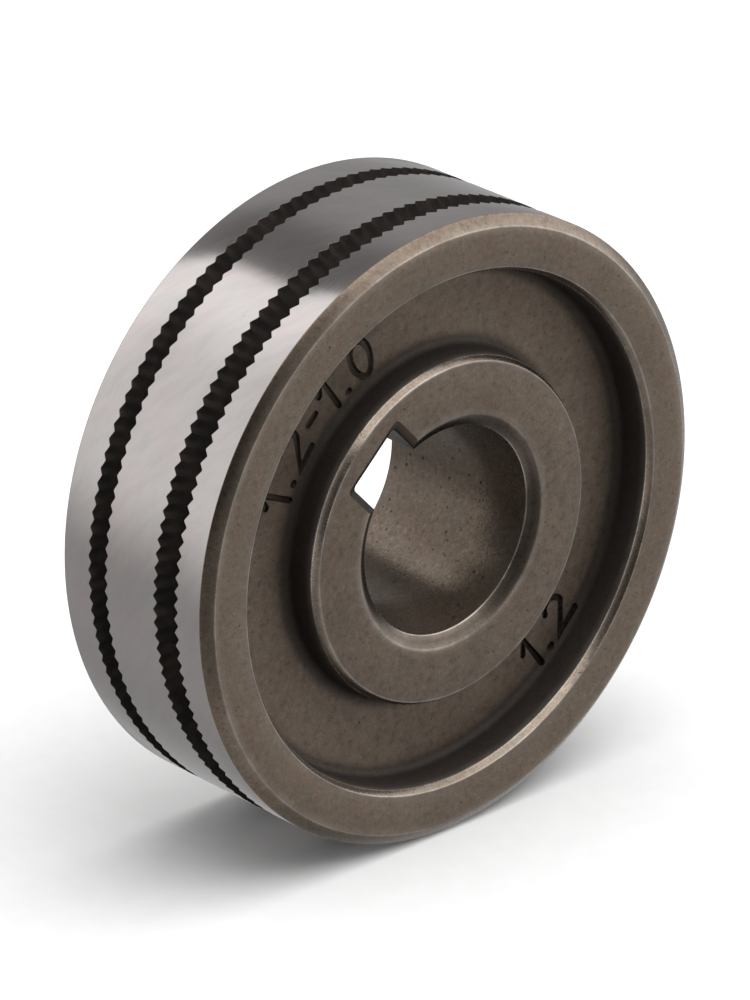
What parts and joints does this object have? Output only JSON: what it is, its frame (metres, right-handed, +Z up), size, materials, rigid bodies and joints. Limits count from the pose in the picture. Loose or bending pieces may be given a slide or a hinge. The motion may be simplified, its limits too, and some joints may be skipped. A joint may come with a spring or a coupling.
{
  "type": "wire feed drive roller",
  "caption": "Steel drive roller for a wire feeder, with a ground rim, knurled V grooves, a recessed web and a keyed bore.",
  "frame": {"origin": "centre of the bore at mid-width", "axes": "+Y along the spin axis from the marked face to the plain face, +Z up with the roller standing on its rim, +X to the right when the marked face is seen"},
  "size_m": [0.03, 0.01, 0.03],
  "materials": {
    "sintered_steel": "brown-grey oxidised sintered steel, ground bright on the rim, with dark knurled grooves"
  },
  "bodies": {
    "root": {"feed_roller": "sintered_steel"}
  },
  "joints": []
}
